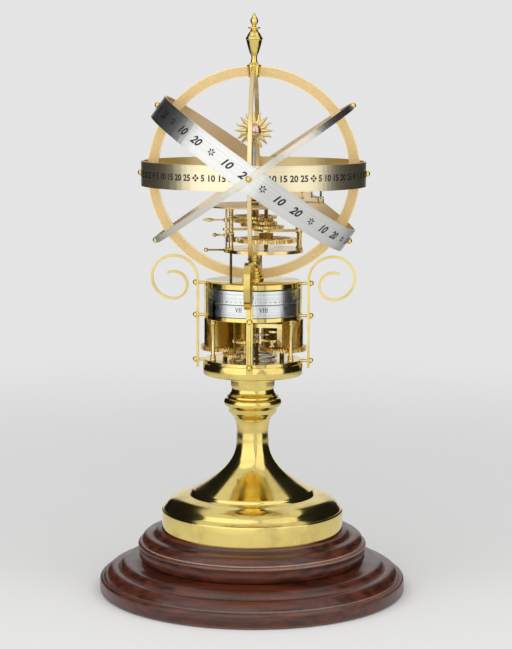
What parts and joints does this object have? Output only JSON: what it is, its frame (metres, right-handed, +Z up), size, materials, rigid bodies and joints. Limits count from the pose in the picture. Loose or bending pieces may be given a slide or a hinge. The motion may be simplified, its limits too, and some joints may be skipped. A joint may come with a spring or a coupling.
{
  "type": "orrery clock",
  "caption": "Skeleton clock with turning hour and minute rings on a brass trumpet foot and wooden base, under a ringed sphere that holds a geared planetarium with sun, earth and moon.",
  "frame": {"origin": "middle of the underside of the base, on the vertical axis", "axes": "+Z up along the axis; the four scroll brackets stand 2.5 degrees past +X, +Y, -X and -Y, and -Y is the front"},
  "size_m": [0.236, 0.236, 0.4425],
  "materials": {
    "felt": "pressed green felt",
    "mahogany": "turned and polished red-brown hardwood",
    "polished_brass": "machine polished and lacquered brass",
    "gilt_brass": "gilded brass with a fine grain",
    "frosted_brass": "stippled, pale gilt brass",
    "band_brass": "brushed pale brass, silvered outside",
    "silvered": "silvered brass, finely brushed",
    "steel": "polished steel",
    "blued_steel": "heat-blued steel",
    "pale_gilt": "matt pale gilt",
    "enamel_blue": "blue enamel"
  },
  "bodies": {
    "stand": {"felt_pad": "felt", "wood_plinth": "mahogany", "wood_step": "mahogany", "brass_foot": "polished_brass", "foot_knop": "polished_brass", "clamp_rod": "steel", "clamp_nuts": "steel", "drum_base": "polished_brass", "lower_plate": "polished_brass", "drum_pillars": "gilt_brass", "middle_plate": "polished_brass", "top_plate": "polished_brass", "scroll_brackets": "gilt_brass", "bracket_spacers": "gilt_brass", "ball_screws": "polished_brass", "ring_guards": "gilt_brass", "time_pointer": "blued_steel", "column": "polished_brass", "meridian_ring": "frosted_brass", "colure_ring": "frosted_brass", "equator_band": "band_brass", "ecliptic_band": "silvered", "lunar_band": "silvered", "band_spacers": "gilt_brass", "pole_boss": "polished_brass", "finial": "polished_brass", "orrery_plate": "gilt_brass", "cage_pillars": "gilt_brass", "orrery_bridge": "gilt_brass", "planet_table": "pale_gilt", "sun_post": "steel", "sun_ball": "polished_brass", "sun_rays": "gilt_brass", "side_rods": "gilt_brass", "reduction_box": "gilt_brass", "escapement_platform": "gilt_brass", "hairspring": "blued_steel"},
    "minute_train": {"centre_arbor": "steel", "minute_ring": "silvered"},
    "hour_train": {"hour_ring": "silvered"},
    "motion_wheel": {"minute_wheel": "gilt_brass"},
    "left_barrel": {"barrel_left": "polished_brass", "mainspring_left": "steel"},
    "right_barrel": {"barrel_right": "polished_brass", "mainspring_right": "steel"},
    "left_winder": {"winding_arbor_left": "steel"},
    "right_winder": {"winding_arbor_right": "steel"},
    "third": {"third_wheel": "gilt_brass"},
    "fourth": {"fourth_wheel": "gilt_brass"},
    "escape": {"escape_wheel": "gilt_brass"},
    "lever": {"pallet_lever": "steel"},
    "balance": {"balance_wheel": "gilt_brass"},
    "drive": {"drive_arbor": "steel"},
    "cluster": {"planet_cluster": "gilt_brass"},
    "earth_carriage": {"earth_arm": "gilt_brass"},
    "venus": {"venus_arm": "gilt_brass"},
    "mercury": {"mercury_arm": "gilt_brass"},
    "moon": {"moon_arm": "silvered"},
    "earth": {"earth_globe": "enamel_blue"},
    "lever_arm": {"setting_lever": "gilt_brass"}
  },
  "joints": [
    {"name": "minute_ring_turn", "type": "hinge", "parent": "stand", "child": "minute_train", "pos_m": [0, 0, 0.228], "axis": [0, 0, 1], "continuous": true},
    {"name": "hour_ring_turn", "type": "hinge", "parent": "stand", "child": "hour_train", "pos_m": [0, 0, 0.22], "axis": [0, 0, 1], "continuous": true},
    {"name": "motion_wheel_turn", "type": "hinge", "parent": "stand", "child": "motion_wheel", "pos_m": [0.0075, 0.01299, 0.217], "axis": [0, 0, 1], "continuous": true},
    {"name": "barrel_left_turn", "type": "hinge", "parent": "stand", "child": "left_barrel", "pos_m": [-0.02194, 0.0045, 0.198], "axis": [0, 0, 1], "continuous": true},
    {"name": "barrel_right_turn", "type": "hinge", "parent": "stand", "child": "right_barrel", "pos_m": [0.02194, 0.0045, 0.198], "axis": [0, 0, 1], "continuous": true},
    {"name": "winding_left_turn", "type": "hinge", "parent": "stand", "child": "left_winder", "pos_m": [-0.02194, 0.0045, 0.185], "axis": [0, 0, 1], "continuous": true},
    {"name": "winding_right_turn", "type": "hinge", "parent": "stand", "child": "right_winder", "pos_m": [0.02194, 0.0045, 0.185], "axis": [0, 0, 1], "continuous": true},
    {"name": "third_wheel_turn", "type": "hinge", "parent": "stand", "child": "third", "pos_m": [-0.01231, -0.01576, 0.186], "axis": [0, 0, 1], "continuous": true},
    {"name": "fourth_wheel_turn", "type": "hinge", "parent": "stand", "child": "fourth", "pos_m": [-0.00358, -0.02515, 0.196], "axis": [0, 0, 1], "continuous": true},
    {"name": "escape_wheel_turn", "type": "hinge", "parent": "stand", "child": "escape", "pos_m": [0.00502, -0.01912, 0.201], "axis": [0, 0, 1], "continuous": true},
    {"name": "pallet_lever_swing", "type": "hinge", "parent": "stand", "child": "lever", "pos_m": [0.0106, -0.01961, 0.2015], "axis": [0, 0, 1], "range_deg": [-5, 5]},
    {"name": "balance_swing", "type": "hinge", "parent": "stand", "child": "balance", "pos_m": [0.01817, -0.02027, 0.204], "axis": [0, 0, 1], "range_deg": [-135, 135], "stiffness_Nm_per_rad": 0.00001},
    {"name": "year_turn", "type": "hinge", "parent": "stand", "child": "earth_carriage", "pos_m": [0, 0, 0.289], "axis": [0, 0, 1], "continuous": true},
    {"name": "venus_turn", "type": "hinge", "parent": "stand", "child": "venus", "pos_m": [0, 0, 0.286], "axis": [0, 0, 1], "continuous": true},
    {"name": "mercury_turn", "type": "hinge", "parent": "stand", "child": "mercury", "pos_m": [0, 0, 0.283], "axis": [0, 0, 1], "continuous": true},
    {"name": "cluster_turn", "type": "hinge", "parent": "stand", "child": "cluster", "pos_m": [0.01161, -0.01956, 0.283], "axis": [0, 0, 1], "continuous": true},
    {"name": "drive_arbor_turn", "type": "hinge", "parent": "stand", "child": "drive", "pos_m": [-0.01498, -0.01887, 0.272], "axis": [0, 0, 1], "continuous": true},
    {"name": "moon_turn", "type": "hinge", "parent": "earth_carriage", "child": "moon", "pos_m": [0.05088, 0.00356, 0.303], "axis": [0, 0, 1], "continuous": true},
    {"name": "earth_spin", "type": "hinge", "parent": "earth_carriage", "child": "earth", "pos_m": [0.05088, 0.00356, 0.31], "axis": [0, 0, 1], "continuous": true},
    {"name": "setting_lever_swing", "type": "hinge", "parent": "stand", "child": "lever_arm", "pos_m": [-0.02, -0.007, 0.27], "axis": [0, 0, 1], "range_deg": [-12, 12]}
  ],
  "couplings": [
    {"joint": "hour_ring_turn", "follows": "minute_ring_turn", "ratio": 0.083333},
    {"joint": "motion_wheel_turn", "follows": "minute_ring_turn", "ratio": -0.25},
    {"joint": "barrel_left_turn", "follows": "minute_ring_turn", "ratio": -0.23077},
    {"joint": "barrel_right_turn", "follows": "minute_ring_turn", "ratio": -0.23077},
    {"joint": "third_wheel_turn", "follows": "minute_ring_turn", "ratio": -9},
    {"joint": "escape_wheel_turn", "follows": "fourth_wheel_turn", "ratio": -5},
    {"joint": "cluster_turn", "follows": "year_turn", "ratio": -3.1176},
    {"joint": "venus_turn", "follows": "year_turn", "ratio": 1.6266},
    {"joint": "mercury_turn", "follows": "year_turn", "ratio": 4.1569},
    {"joint": "drive_arbor_turn", "follows": "year_turn", "ratio": 16.627},
    {"joint": "moon_turn", "follows": "year_turn", "ratio": 12.37}
  ]
}
